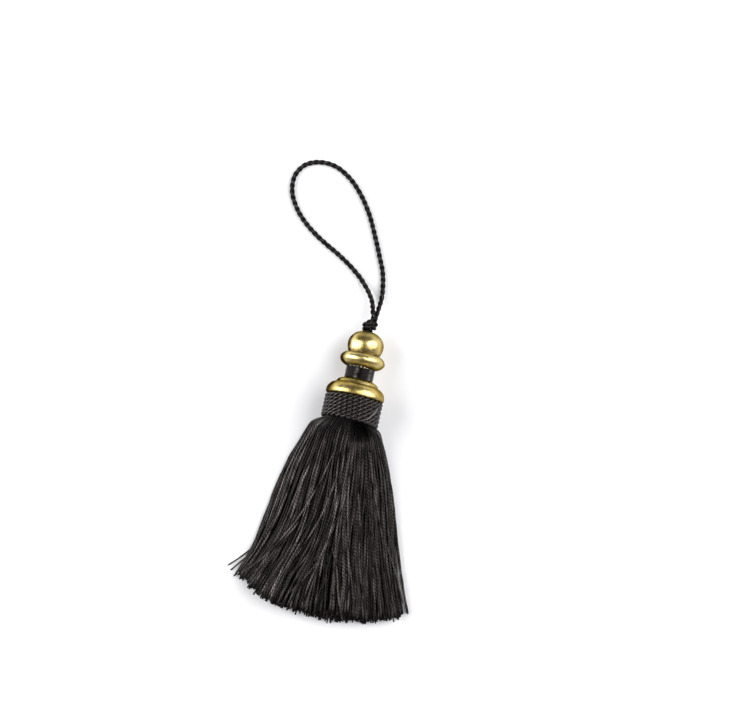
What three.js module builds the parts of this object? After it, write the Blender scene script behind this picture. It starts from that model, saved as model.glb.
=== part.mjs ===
// A hanging tassel laid on a flat surface: a gilded turned wooden head with a ball, a ring and a dome,
// a neck wound with fine thread, a band of wound cord, a skirt of cut yarn and a knotted loop of cord.
// Millimetres, +Z up. The head and the loop point along +Y, and the skirt along -Y.

import * as THREE from "three";

const { degToRad, lerp, smoothstep } = THREE.MathUtils;

// Gap between pieces that touch on the real tassel
const gap = 0.3;

// The turned head. Heights run up its axis from the dome's rim, towards the ball.
const head = {
  rimX: -1.3, // where the middle of the dome's rim lies
  rimY: 37.5,
  droop: 7.5, // degrees that the ball end sinks towards the surface
  lean: 2.2, // degrees that the ball end turns to the right
  lift: 0.2, // of the dome's lower corner over the surface
  boreRadius: 2.4,
  lipRadius: 2.9, // the bore's mouth, on top of the ball
  lipDepth: 0.4,
  rimRadius: 13.6, // the dome's flat rim
  domeRadius: 14.1,
  domeHeight: 8.4,
  neckRadius: 7.25, // where dome and ring meet the winding
  coreRadius: 6.2, // the neck, under its winding
  ringBase: 14.5,
  grooveHeight: 21.2, // between ring and ball
  ballRadius: 8.65,
  ballMiddle: 25.6,
  ballBelow: 8.5, // half height of the ball under its middle
  ballAbove: 6.9, // half height over it, where it is flatter
};

// The curves of the head's outline: where each ends, and the point that bends it on the way there
const domeCurves = [
  { radius: 14.1, height: 1.1, bendRadius: 14.1, bendHeight: 0.1 }, // round the rim's edge
  { radius: 13.1, height: 4.1, bendRadius: 14.1, bendHeight: 2.9 }, // the quarter round
  { radius: 11.2, height: 5.6, bendRadius: 12.3, bendHeight: 5.2 },
  { radius: 10.2, height: 6.1, bendRadius: 10.5, bendHeight: 5.6 }, // a shallow groove
  { radius: 8.5, height: 7.9, bendRadius: 9.9, bendHeight: 7.4 }, // a small bead
  { radius: 7.25, height: 8.4, bendRadius: 7.8, bendHeight: 8.4 }, // its fall to the neck
];
const ringCurves = [
  { radius: 10.4, height: 16.6, bendRadius: 9.4, bendHeight: 15.1 }, // under the ring
  { radius: 10.75, height: 18.5, bendRadius: 10.95, bendHeight: 17.5 }, // its crest
];
const ringTopBend = { radius: 10.3, height: 20.4 }; // of the curve from the crest to the groove

// Fine thread wound round the neck
const winding = { radius: 7.05 };

// Turns of cord wound round the top of the skirt, under the dome
const band = { turns: 6, pitch: 2.0, outerRadius: 14.1, depth: 2.0 };

// The skirt leaves the band as a round bundle and opens into a fan, flat beneath where it lies, whose
// sides bulge a little on the way.
const skirt = {
  hubX: -2.6, // point that the yarns fan out from, seen from above
  hubY: 76.5,
  spread: 17.05, // degrees from its middle line to either edge
  bulgeLeft: 0.15, // share by which the left and the right side stand wider
  bulgeRight: 0.05,
  bulgeMiddle: 26, // length of yarn below the band where they bulge the most
  bulgeWidth: 30,
  turn: 0.85, // degrees that its middle line turns to the right
  bandToHub: 51.1, // from the hub to where the yarns leave the band
  length: 94.9, // of the yarns below the band
  settle: 11, // length over which the bundle opens into the fan
  crownEnd: 12.5, // height of its middle at the cut end
  crownFall: 26, // length over which the crown's height dies away
  edgeHeight: 1.2,
  edgeRound: 0.04, // share of the half width where the underside curves up to the edge
  fullness: 2.2, // exponents of the section's outline over the surface
  shoulder: 0.75,
  bevel: 5, // how much sooner the upper yarns end than the lowest
  lockStart: 0.12, // share of the length where the locks begin to show
  lockFull: 0.6, // and where they stand at their full height
};

// The skirt's locks, from its left edge to its right one: where each lies across the half width,
// how wide it is to either side, how far it stands up, and how far its ends reach past the length.
const locks = [
  { at: -0.94, half: 0.09, rise: 0.5, reach: -5.6 },
  { at: -0.78, half: 0.1, rise: 1.0, reach: -3.2 },
  { at: -0.6, half: 0.1, rise: 1.5, reach: -2.2 },
  { at: -0.44, half: 0.08, rise: 1.1, reach: -0.6 },
  { at: -0.27, half: 0.11, rise: 1.7, reach: -0.8 },
  { at: -0.09, half: 0.1, rise: 1.3, reach: 0.2 },
  { at: 0.09, half: 0.1, rise: 1.6, reach: 0.1 },
  { at: 0.26, half: 0.09, rise: 1.2, reach: 0.8 },
  { at: 0.43, half: 0.1, rise: 1.6, reach: 0.1 },
  { at: 0.61, half: 0.1, rise: 1.2, reach: 0.6 },
  { at: 0.78, half: 0.09, rise: 1.0, reach: -0.4 },
  { at: 0.93, half: 0.09, rise: 0.5, reach: -1.8 },
];

// The overhand knot in the doubled cord, whose tail fills the bore
const knot = {
  height: 5.9,
  radius: 3.9,
  widestAt: 0.45, // share of its height
  topRadius: 3.0,
  topRound: 0.5,
  tailRadius: 2.05,
  tailLength: 9,
};

// The loop of cord, and the points that its middle line passes through, from the knot round to it.
// It falls from the knot to the surface, lies in a drawn-out ring, comes back, and passes under
// its own first stretch beside the knot.
const cord = { diameter: 2.0, sides: 8, steps: 76 };
const loopRoute = [
  [1.95, 76.52, 9.86],
  [1.4, 78.2, 9.4],
  [0.65, 80.2, 8.6],
  [-0.25, 82.3, 7.4],
  [-1.45, 84.9, 5.65],
  [-3.1, 87.7, 3.85],
  [-5.3, 90.7, 2.35],
  [-8.4, 94.2, 1.35],
  [-12.6, 97.9, 1.05],
  [-20.7, 103.6, 1.05],
  [-28.7, 108.3, 1.05],
  [-38.2, 115.2, 1.05],
  [-45, 122.9, 1.05],
  [-48.4, 130.8, 1.05],
  [-48.1, 138, 1.05],
  [-44.4, 143.4, 1.05],
  [-38, 146, 1.05],
  [-29.8, 145.4, 1.05],
  [-22.3, 141.2, 1.05],
  [-15.7, 134.5, 1.05],
  [-9.9, 125.8, 1.05],
  [-5.2, 115.8, 1.05],
  [-1.1, 105.9, 1.05],
  [1.6, 98.8, 1.05],
  [2.8, 92.6, 1.2],
  [3.05, 88.4, 1.85],
  [2.7, 84.9, 3.1],
  [1.95, 81.9, 4.65],
  [1.15, 79.4, 6.05],
  [0.6, 77.6, 7.05],
  [0.4, 76.32, 7.6],
];

const gold = new THREE.MeshStandardMaterial({ color: 0xb4964a, roughness: 0.38, metalness: 0.85 });
const thread = new THREE.MeshStandardMaterial({ color: 0x2b292b, roughness: 0.55, metalness: 0 });
const twistedCord = new THREE.MeshStandardMaterial({ color: 0x2a2829, roughness: 0.65, metalness: 0 });
const yarn = new THREE.MeshStandardMaterial({ color: 0x353132, roughness: 0.6, metalness: 0 });

const roundSides = 36;
const bandLength = band.turns * band.pitch;

function namedMesh(name, geometry, material) {
  const mesh = new THREE.Mesh(geometry, material);
  mesh.name = name;
  return mesh;
}

// An outline turned round the axis, each of its curves cut into some steps, without the doubled
// points where two of its curves meet
function turned(name, outline, steps, material) {
  const doubled = 0.01;
  const points = outline
    .getPoints(steps)
    .filter((point, i, all) => i === 0 || point.distanceTo(all[i - 1]) > doubled);
  return namedMesh(name, new THREE.LatheGeometry(points, roundSides), material);
}

// The head's outline runs from its bore outwards, up over dome, neck, ring and ball, and down the bore.
function makeHead() {
  const { grooveHeight, ballRadius, ballMiddle, ballBelow, ballAbove } = head;
  const outline = new THREE.Path();
  const bendThrough = (curves) => {
    for (const { radius, height, bendRadius, bendHeight } of curves) {
      outline.quadraticCurveTo(bendRadius, bendHeight, radius, height);
    }
  };
  outline.moveTo(head.boreRadius, 0);
  outline.lineTo(head.rimRadius, 0);
  bendThrough(domeCurves);
  outline.lineTo(head.coreRadius, head.domeHeight);
  outline.lineTo(head.coreRadius, head.ringBase);
  outline.lineTo(head.neckRadius, head.ringBase);
  bendThrough(ringCurves);
  const grooveAngle = Math.asin((grooveHeight - ballMiddle) / ballBelow);
  const grooveRadius = ballRadius * Math.cos(grooveAngle);
  outline.quadraticCurveTo(ringTopBend.radius, ringTopBend.height, grooveRadius, grooveHeight);
  outline.absellipse(0, ballMiddle, ballRadius, ballBelow, grooveAngle, 0, false);
  const lipAngle = Math.acos(head.lipRadius / ballRadius);
  outline.absellipse(0, ballMiddle, ballRadius, ballAbove, 0, lipAngle, false);
  outline.lineTo(head.boreRadius, ballMiddle + ballAbove * Math.sin(lipAngle) - head.lipDepth);
  outline.lineTo(head.boreRadius, 0);
  return turned("turned_head", outline, 3, gold);
}

// A sleeve that stands for the neck's turns of thread, between dome and ring
function makeNeckWinding() {
  const inner = head.coreRadius + gap;
  const low = head.domeHeight + gap;
  const high = head.ringBase - gap;
  const outline = new THREE.Path();
  outline.moveTo(inner, low);
  outline.lineTo(winding.radius, low);
  outline.lineTo(winding.radius, high);
  outline.lineTo(inner, high);
  outline.lineTo(inner, low);
  return turned("neck_winding", outline, 1, thread);
}

// The band's outline: a straight inner wall, and a half round outside for each turn of cord
function makeBand() {
  const inner = band.outerRadius - band.depth;
  const turnRadius = band.pitch / 2;
  const middle = band.outerRadius - turnRadius;
  const outline = new THREE.Path();
  outline.moveTo(inner, -bandLength - gap);
  outline.lineTo(middle, -bandLength - gap);
  for (let turn = 0; turn < band.turns; turn++) {
    const height = -bandLength - gap + (turn + 0.5) * band.pitch;
    outline.absarc(middle, height, turnRadius, -Math.PI / 2, Math.PI / 2, false);
  }
  outline.lineTo(inner, -gap);
  outline.lineTo(inner, -bandLength - gap);
  return turned("wound_band", outline, 2, twistedCord);
}

function makeKnot() {
  const low = head.ballMiddle + head.ballAbove + gap;
  const high = low + knot.height;
  const widest = low + knot.widestAt * knot.height;
  const outline = new THREE.Path();
  outline.moveTo(0, low - knot.tailLength);
  outline.lineTo(knot.tailRadius, low - knot.tailLength);
  outline.lineTo(knot.tailRadius, low);
  outline.quadraticCurveTo(knot.radius, low, knot.radius, widest);
  outline.quadraticCurveTo(knot.radius, high - knot.topRound, knot.topRadius, high);
  outline.lineTo(0, high);
  return turned("cord_knot", outline, 3, twistedCord);
}

// Height of a lock over the skirt's plain outline, at a place across the fan
function lockRise(across) {
  const rises = locks.map(({ at, half, rise }) => rise * (1 - ((across - at) / half) ** 2));
  return Math.max(0, ...rises);
}

// How far the yarns reach past the skirt's length there, smoothed between one lock and the next
function lockReach(across) {
  let sum = 0;
  let weights = 0;
  for (const { at, half, reach } of locks) {
    const weight = Math.exp(-(((across - at) / half) ** 2));
    sum += weight * reach;
    weights += weight;
  }
  return sum / weights;
}

// A point of the skirt's skin. across runs from -1 at the left edge to 1 at the right one, side is 1 on
// top and -1 beneath, and down is the length of yarn below the band, less than 0 inside it.
function skirtPoint(across, side, down, toFrame) {
  const bundleRadius = band.outerRadius - band.depth - gap;
  const chord = Math.sqrt(Math.max(0, 1 - across * across));
  const inBundle = new THREE.Vector3(
    bundleRadius * across,
    -bandLength - gap - down,
    side * bundleRadius * chord,
  ).applyMatrix4(toFrame);
  if (down <= 0) return inBundle;

  const bulge =
    lerp(skirt.bulgeLeft, skirt.bulgeRight, (across + 1) / 2) *
    Math.exp(-(((down - skirt.bulgeMiddle) / skirt.bulgeWidth) ** 2));
  const angle = degToRad(skirt.turn + skirt.spread * across * (1 + bulge));
  const reach = skirt.bandToHub + down;
  const crownStart = head.domeRadius + bundleRadius;
  const crown = lerp(skirt.crownEnd, crownStart, Math.exp(-down / skirt.crownFall));
  const outline = (1 - Math.abs(across) ** skirt.fullness) ** skirt.shoulder;
  const share = down / skirt.length;
  const locksShown = smoothstep(share, skirt.lockStart, skirt.lockFull);
  const top = skirt.edgeHeight + (crown - skirt.edgeHeight) * outline;
  const fromEdge = (1 - Math.abs(across)) / skirt.edgeRound;
  const bottom = skirt.edgeHeight * Math.max(0, 1 - fromEdge);
  const inFan = new THREE.Vector3(
    skirt.hubX + reach * Math.sin(angle),
    skirt.hubY - reach * Math.cos(angle),
    side > 0 ? top + locksShown * lockRise(across) * Math.min(1, fromEdge) : bottom,
  );
  return inBundle.lerp(inFan, smoothstep(down, 0, skirt.settle));
}

// The skirt's skin: rings of points from under the dome to the cut end, an upper and a lower run in
// each that meet at the edges, joined ring to ring and closed at both ends.
function makeSkirt(toFrame) {
  const columns = 72;
  const insideBand = bandLength;
  const shares = [0, 0.012, 0.028, 0.05, 0.08, 0.11, 0.15, 0.21, 0.29, 0.38, 0.48, 0.59, 0.7, 0.8, 0.9, 1];
  const places = Array.from({ length: columns + 1 }, (_, i) =>
    Math.sin((Math.PI / 2) * ((2 * i) / columns - 1)),
  );
  const ring = (downOf) => [
    ...places.map((across) => skirtPoint(across, 1, downOf(across, 1), toFrame)),
    ...places
      .slice(1, -1)
      .reverse()
      .map((across) => skirtPoint(across, -1, downOf(across, -1), toFrame)),
  ];
  const downAt = (share) => (across, side) => {
    const bevel = side > 0 ? skirt.bevel * (1 - across * across) : 0;
    return share * (skirt.length + share * (lockReach(across) - bevel));
  };
  const rings = [ring(() => -insideBand), ...shares.map((share) => ring(downAt(share)))];

  const size = rings[0].length;
  const index = [];
  for (let row = 0; row < rings.length - 1; row++) {
    for (let i = 0; i < size; i++) {
      const a = row * size + i;
      const b = row * size + ((i + 1) % size);
      index.push(a, b + size, b, a, a + size, b + size);
    }
  }
  const last = (rings.length - 1) * size;
  for (let i = 0; i < columns; i++) {
    const above = [i, i + 1];
    const below = [(size - i) % size, size - i - 1];
    const corners = [above[0], above[1], below[1], below[0]];
    if (i < columns - 1) index.push(corners[0], corners[1], corners[2]);
    if (i > 0) index.push(corners[0], corners[2], corners[3]);
    if (i < columns - 1) index.push(last + corners[0], last + corners[2], last + corners[1]);
    if (i > 0) index.push(last + corners[0], last + corners[3], last + corners[2]);
  }
  const positions = rings.flat().flatMap((point) => point.toArray());
  const geometry = new THREE.BufferGeometry();
  geometry.setAttribute("position", new THREE.Float32BufferAttribute(positions, 3));
  geometry.setIndex(index);
  geometry.computeVertexNormals();
  return namedMesh("yarn_skirt", geometry, yarn);
}

function makeLoop() {
  const section = new THREE.Shape();
  for (let side = 0; side < cord.sides; side++) {
    const angle = (2 * Math.PI * (side + 0.5)) / cord.sides;
    const x = (cord.diameter / 2) * Math.cos(angle);
    const y = (cord.diameter / 2) * Math.sin(angle);
    if (side === 0) section.moveTo(x, y);
    else section.lineTo(x, y);
  }
  section.closePath();
  const path = new THREE.CatmullRomCurve3(loopRoute.map((place) => new THREE.Vector3(...place)));
  const geometry = new THREE.ExtrudeGeometry(section, { steps: cord.steps, extrudePath: path });
  return namedMesh("loop_cord", geometry, twistedCord);
}

// The head's own frame: turned to the right, then sunk at the ball end
const headFrame = new THREE.Group();
headFrame.rotation.order = "ZYX";
headFrame.rotation.z = degToRad(-head.lean);
headFrame.rotation.x = degToRad(-head.droop);
const rimHeight = head.domeRadius * Math.cos(degToRad(head.droop)) + head.lift;
headFrame.position.set(head.rimX, head.rimY, rimHeight);
headFrame.updateMatrix();
headFrame.add(makeHead(), makeNeckWinding(), makeBand(), makeKnot());

const tassel = new THREE.Group();
tassel.name = "tassel";
tassel.add(headFrame, makeSkirt(headFrame.matrix), makeLoop());

export default tassel;
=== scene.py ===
import math

import bpy
import numpy as np
from mathutils import Matrix, Vector


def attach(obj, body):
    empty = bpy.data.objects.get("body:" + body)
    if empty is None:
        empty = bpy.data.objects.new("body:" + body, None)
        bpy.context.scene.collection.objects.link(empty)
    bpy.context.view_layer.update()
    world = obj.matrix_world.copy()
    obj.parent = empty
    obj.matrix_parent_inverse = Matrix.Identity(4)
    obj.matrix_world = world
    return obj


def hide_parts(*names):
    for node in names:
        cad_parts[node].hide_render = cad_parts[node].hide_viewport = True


# A hanging tassel laid on a pale floor: gilded turned head, wound neck, band of wound cord,
# fanned skirt of cut yarn and a knotted loop of twisted cord. Sizes are in millimetres, times mm.

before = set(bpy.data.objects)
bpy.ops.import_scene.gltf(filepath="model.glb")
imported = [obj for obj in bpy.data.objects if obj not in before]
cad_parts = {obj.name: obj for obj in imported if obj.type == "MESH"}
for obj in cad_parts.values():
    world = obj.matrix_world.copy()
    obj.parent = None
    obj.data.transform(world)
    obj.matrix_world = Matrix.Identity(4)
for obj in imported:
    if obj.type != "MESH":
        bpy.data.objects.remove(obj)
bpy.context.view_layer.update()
mm = 0.001

camera = dict(height=1000, overX=4.82, overY=59.09, turn=10, lens=99.38, sensor=36, near=0.01, far=20)


def setCamera():
    lens = bpy.data.cameras.new("copyStandCamera")
    lens.lens, lens.sensor_width = camera["lens"], camera["sensor"]
    lens.clip_start, lens.clip_end = camera["near"], camera["far"]
    copyStand = bpy.data.objects.new("copyStandCamera", lens)
    copyStand.location = (camera["overX"] * mm, camera["overY"] * mm, camera["height"] * mm)
    copyStand.rotation_euler = (0, 0, math.radians(camera["turn"]))
    bpy.context.scene.collection.objects.link(copyStand)
    bpy.context.scene.camera = copyStand


setCamera()
print("camera set, straight above the tassel")


# helpers for node trees

def plug(tree, socket, value):
    if isinstance(value, bpy.types.NodeSocket):
        tree.links.new(value, socket)
    else:
        socket.default_value = value


def add(tree, kind, inputs=None, **settings):
    node = tree.nodes.new(kind)
    for name, value in settings.items():
        setattr(node, name, value)
    for key, value in (inputs or {}).items():
        plug(tree, node.inputs[key], value)
    return node


def result(tree, kind, inputs=None, **settings):
    return add(tree, kind, inputs, **settings).outputs[0]


def geo(tree, kind, inputs=None, **settings):
    return result(tree, "GeometryNode" + kind, inputs, **settings)


def maths(tree, operation, *values):
    return result(tree, "ShaderNodeMath", dict(enumerate(values)), operation=operation)


def times(tree, product, *others):
    for other in others:
        product = maths(tree, "MULTIPLY", product, other)
    return product


def plus(tree, first, second):
    return maths(tree, "ADD", first, second)


def vectors(tree, operation, *values):
    return result(tree, "ShaderNodeVectorMath", dict(enumerate(values)), operation=operation)


def scaled(tree, vector, factor):
    return result(tree, "ShaderNodeVectorMath", {0: vector, 3: factor}, operation="SCALE")


def vectorOf(tree, *values):
    return result(tree, "ShaderNodeCombineXYZ", dict(enumerate(values)))


def partsOf(tree, vector):
    return add(tree, "ShaderNodeSeparateXYZ", {0: vector}).outputs


def ranged(tree, value, low, high, toLow=0.0, toHigh=1.0):
    return result(tree, "ShaderNodeMapRange", {0: value, 1: low, 2: high, 3: toLow, 4: toHigh})


def noise(tree, scale, detail=2.0, roughness=0.5, dimensions="3D", made="Fac", **at):
    # at gives the Vector, the W or both, as the dimensions ask
    return add(tree, "ShaderNodeTexNoise", {**at, "Scale": scale, "Detail": detail, "Roughness": roughness},
               noise_dimensions=dimensions).outputs[made]


def newGroup(name, kind, given, made):
    tree = bpy.data.node_groups.new(name, kind)
    for label, form in given:
        tree.interface.new_socket(label, in_out="INPUT", socket_type="NodeSocket" + form)
    for label, form in made:
        tree.interface.new_socket(label, in_out="OUTPUT", socket_type="NodeSocket" + form)
    return tree, tree.nodes.new("NodeGroupInput").outputs, tree.nodes.new("NodeGroupOutput").inputs


def growingTree(name, counts, numbers):
    # a geometry tree that makes a mesh from a guide
    given = [("Geometry", "Geometry")] + [(label, "Int") for label in counts]
    given += [(label, "Float") for label in numbers] + [("Material", "Material")]
    return newGroup(name, "GeometryNodeTree", given, [("Geometry", "Geometry")])


def named(tree, name, form="FLOAT"):
    return geo(tree, "InputNamedAttribute", {0: name}, data_type=form)


def stored(tree, geometry, name, value, form="FLOAT"):
    return geo(tree, "StoreNamedAttribute", {"Geometry": geometry, "Name": name, "Value": value},
               data_type=form, domain="POINT")


# lines and meshes

def lengths(line):
    return np.concatenate([[0], np.cumsum(np.linalg.norm(np.diff(line, axis=0), axis=1))])


def evenOut(line, count):
    along = lengths(line)
    at = np.linspace(0, along[-1], count)
    return np.stack([np.interp(at, along, line[:, k]) for k in range(3)], axis=1)


def smoothLine(points, step, finer=4):
    # one smooth curve through the points, with its own points a step apart
    points = np.array(points, float)
    at = lengths(points)
    gaps, slope = np.diff(at), np.gradient(points, at, axis=0)
    place = np.linspace(0, at[-1], int(at[-1] / step * finer))
    i = np.clip(np.searchsorted(at, place, side="right") - 1, 0, len(gaps) - 1)
    t, gap = ((place - at[i]) / gaps[i])[:, None], gaps[i][:, None]
    line = ((2 * t**3 - 3 * t**2 + 1) * points[i] + (t**3 - 2 * t**2 + t) * gap * slope[i]
            + (3 * t**2 - 2 * t**3) * points[i + 1] + (t**3 - t**2) * gap * slope[i + 1])
    return evenOut(line, round(lengths(line)[-1] / step) + 1)


def headings(line):
    heading = np.gradient(line, axis=0)
    return heading / np.linalg.norm(heading, axis=1)[:, None]


def sideways(line, last=(1.0, 0.0, 0.0)):
    # a direction across the line that never turns about it
    side = np.zeros_like(line)
    last = np.array(last)
    for i, ahead in enumerate(headings(line)):
        last = last - ahead * (last @ ahead)
        last = last / np.linalg.norm(last)
        side[i] = last
    return side


def smoothStep(value, start, end):
    t = np.clip((value - start) / (end - start), 0, 1)
    return t * t * (3 - 2 * t)


def pathMesh(name, lines, **numbers):
    # lines in millimetres, as edges, with a value or a vector at each of their points
    mesh = bpy.data.meshes.new(name)
    points = np.concatenate(lines) * mm
    edges, start = [], 0
    for line in lines:
        ids = np.arange(start, start + len(line))
        edges.append(np.stack([ids[:-1], ids[1:]], axis=1))
        start += len(line)
    mesh.from_pydata(points.tolist(), np.concatenate(edges).tolist(), [])
    for label, values in numbers.items():
        pointValues(mesh, label, np.concatenate(values))
    return mesh


def pointValues(mesh, label, values):
    form, key = ("FLOAT_VECTOR", "vector") if values.ndim == 2 else ("FLOAT", "value")
    mesh.attributes.new(label, form, "POINT").data.foreach_set(key, values.astype(np.float32).ravel())


def placed(name, mesh):
    piece = bpy.data.objects.new(name, mesh)
    bpy.context.scene.collection.objects.link(piece)
    return piece


def grown(name, guide, tree, inputs):
    # runs a node tree on the guide and keeps what it makes as a plain mesh
    piece = placed(name, guide)
    modifier = piece.modifiers.new(name, "NODES")
    modifier.node_group = tree
    for item in tree.interface.items_tree:
        if item.in_out == "INPUT" and item.name in inputs:
            modifier[item.identifier] = inputs[item.name]
    depsgraph = bpy.context.evaluated_depsgraph_get()
    finished = bpy.data.meshes.new_from_object(piece.evaluated_get(depsgraph), preserve_all_data_layers=True,
                                               depsgraph=depsgraph)
    piece.modifiers.clear()
    piece.data = finished
    finished.name = name
    return piece


def join(piece, slotName, *nodes):
    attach(piece, "root")
    if nodes:
        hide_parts(*nodes)
    print(piece.name, "done,", sum(len(face.vertices) - 2 for face in piece.data.polygons), "triangles")


# geometry node trees

def spunProfile():
    # sweeps a round section along curves; along is the way along each, round the direction across it
    given = [("Curve", "Geometry"), ("Radius", "Float"), ("Thickness", "Float"), ("Sides", "Int")]
    tree, given, made = newGroup("spunProfile", "GeometryNodeTree", given, [("Mesh", "Geometry")])
    way = add(tree, "GeometryNodeSplineParameter").outputs["Length"]
    curve = stored(tree, given["Curve"], "along", way)
    ring = geo(tree, "CurvePrimitiveCircle", {"Resolution": given["Sides"], "Radius": 1.0}, mode="RADIUS")
    ring = stored(tree, ring, "round", geo(tree, "InputPosition"), "FLOAT_VECTOR")
    ring = geo(tree, "Transform", {"Geometry": ring, "Scale": vectorOf(tree, *[given["Radius"]] * 3)})
    swept = geo(tree, "CurveToMesh", {"Curve": curve, "Profile Curve": ring, "Scale": given["Thickness"],
                                      "Fill Caps": True})
    plug(tree, made["Mesh"], geo(tree, "SetShadeSmooth", {"Geometry": swept, "Shade Smooth": True}))
    return tree


sweep = spunProfile()


def moved(tree, curve, **how):
    return geo(tree, "SetPosition", {"Geometry": curve, **how})


def waver(tree, place, seed, size, detail=2.0):
    # a small push in any direction, from noise
    wave = noise(tree, 1.0, detail, dimensions="4D", made="Color", Vector=place, W=seed)
    return scaled(tree, vectors(tree, "SUBTRACT", wave, (0.5, 0.5, 0.5)), size)


def finishTree(tree, given, made, curve, radius, thickness, tint=None):
    # sweeps the curve into a mesh and ends the tree
    inputs = dict(Curve=curve, Radius=radius, Thickness=thickness, Sides=given["Sides"])
    mesh = geo(tree, "Group", inputs, node_tree=sweep)
    if tint is not None:
        mesh = stored(tree, mesh, "tint", tint)
    real = geo(tree, "RealizeInstances", {"Geometry": mesh})
    plug(tree, made["Geometry"], geo(tree, "SetMaterial", {"Geometry": real, "Material": given["Material"]}))
    return tree


def makeTwistedCord(underBelow=0.15, topAbove=0.75, crestHighlightFrom=0.9, crestHighlightTo=0.985, cornerLimit=0.999):
    # plies laid round each line; the line's points carry side, twist (radians), thick and a painted shade for
    # the band's right side
    numbers = ["Ply Radius", "Ply Offset", "Ply Outward", "Straight", "Shade", "Painted Crest Highlight"]
    tree, given, made = growingTree("twistedCord", ["Plies", "Sides"], numbers)
    curve = geo(tree, "MeshToCurve", {"Mesh": given["Geometry"]})
    copies = add(tree, "GeometryNodeDuplicateElements", {"Geometry": curve, "Amount": given["Plies"]},
                 domain="SPLINE").outputs
    step = maths(tree, "DIVIDE", times(tree, copies["Duplicate Index"], 2 * math.pi), given["Plies"])
    phase = plus(tree, named(tree, "twist"), step)
    rise, swing = maths(tree, "COSINE", phase), maths(tree, "SINE", phase)
    side, thick = named(tree, "side", "FLOAT_VECTOR"), named(tree, "thick")
    cross = vectors(tree, "CROSS_PRODUCT", geo(tree, "InputTangent"), side)
    straight = times(tree, maths(tree, "ARCSINE", times(tree, swing, cornerLimit)), 2 / math.pi)
    swing = plus(tree, swing, times(tree, maths(tree, "SUBTRACT", straight, swing), given["Straight"]))
    offset = vectors(tree, "ADD", scaled(tree, side, times(tree, given["Ply Outward"], thick, rise)),
                     scaled(tree, cross, times(tree, given["Ply Offset"], thick, swing)))
    # painted shade: a ply is darkened where it turns under, by the Shade input, and the band's right side by
    # its own painted shade
    under = ranged(tree, rise, underBelow, topAbove, 1.0, 0.0)
    dim = maths(tree, "MAXIMUM", times(tree, under, given["Shade"]), named(tree, "rightShade"))
    laid = moved(tree, stored(tree, copies["Geometry"], "dim", dim), Offset=offset)
    # painted highlight: where a ply's surface faces straight up it is made paler, as much as the crest input
    # asks
    faceUp = partsOf(tree, geo(tree, "InputNormal"))[2]
    wearAndPaintedLight = times(tree, ranged(tree, faceUp, crestHighlightFrom, crestHighlightTo), given["Painted Crest Highlight"])
    return finishTree(tree, given, made, laid, given["Ply Radius"], thick, wearAndPaintedLight)


def makeYarnFringe(eachYarn=3.7, detail=1.0):
    # yarns along their lines, with a crimp that fades in with free, kept over the floor
    tree, given, made = growingTree("yarnFringe", ["Sides"], ["Yarn Radius", "Crimp", "Crimp Length", "Seed"])
    curve = geo(tree, "MeshToCurve", {"Mesh": given["Geometry"]})
    place, thick = geo(tree, "InputPosition"), named(tree, "thick")
    own = plus(tree, times(tree, named(tree, "yarn"), eachYarn), given["Seed"])
    finer = scaled(tree, place, maths(tree, "DIVIDE", 1.0, given["Crimp Length"]))
    push = waver(tree, finer, own, times(tree, given["Crimp"], named(tree, "free")), detail)
    at = partsOf(tree, vectors(tree, "ADD", place, push))
    low = times(tree, given["Yarn Radius"], thick)
    laid = moved(tree, curve, Position=vectorOf(tree, at[0], at[1], maths(tree, "MAXIMUM", at[2], low)))
    return finishTree(tree, given, made, laid, given["Yarn Radius"], thick)


def makeThreadWinding(steps=72, waverScale=260.0, threadScale=0.8, threadSpan=(0.35, 0.65), threadLeast=0.15,
                      sheenShift=0.24, sheenWaves=6.4, sheenSharp=3.0):
    # turns of thread wound close on a core that stands on the z axis
    numbers = ["Turns", "Core Radius", "Height", "Thread Radius", "Waver", "Seed"]
    tree, given, made = growingTree("threadWinding", ["Sides"], numbers)
    lie, place = plus(tree, given["Core Radius"], given["Thread Radius"]), geo(tree, "InputPosition")
    coil = geo(tree, "CurveSpiral", {"Resolution": steps, "Rotations": given["Turns"], "Start Radius": lie,
                                     "End Radius": lie, "Height": given["Height"]})
    push = waver(tree, scaled(tree, place, waverScale), given["Seed"], given["Waver"])
    laid, at = moved(tree, coil, Offset=push), partsOf(tree, place)
    # painted sheen: bands at fixed places round the core, broken up by noise along the thread, make the
    # thread paler
    thread = noise(tree, threadScale, dimensions="1D", W=maths(tree, "DIVIDE", at[2], given["Thread Radius"]))
    across = plus(tree, maths(tree, "DIVIDE", at[0], given["Core Radius"]), sheenShift)
    wave = maths(tree, "COSINE", times(tree, across, sheenWaves))
    sheen = maths(tree, "POWER", maths(tree, "MAXIMUM", wave, 0.0), sheenSharp)
    laid = stored(tree, laid, "tint", times(tree, sheen, ranged(tree, thread, *threadSpan, threadLeast)))
    return finishTree(tree, given, made, laid, given["Thread Radius"], 1.0)


twistedCord, yarnFringe, threadWinding = makeTwistedCord(), makeYarnFringe(), makeThreadWinding()
print("node trees built")


# the fibre materials

def attribute(tree, name, made="Fac"):
    return add(tree, "ShaderNodeAttribute", attribute_name=name).outputs[made]


fibreInputs = ("Lay", "Strands", "Streaks", "Stretch", "Patch")


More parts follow.
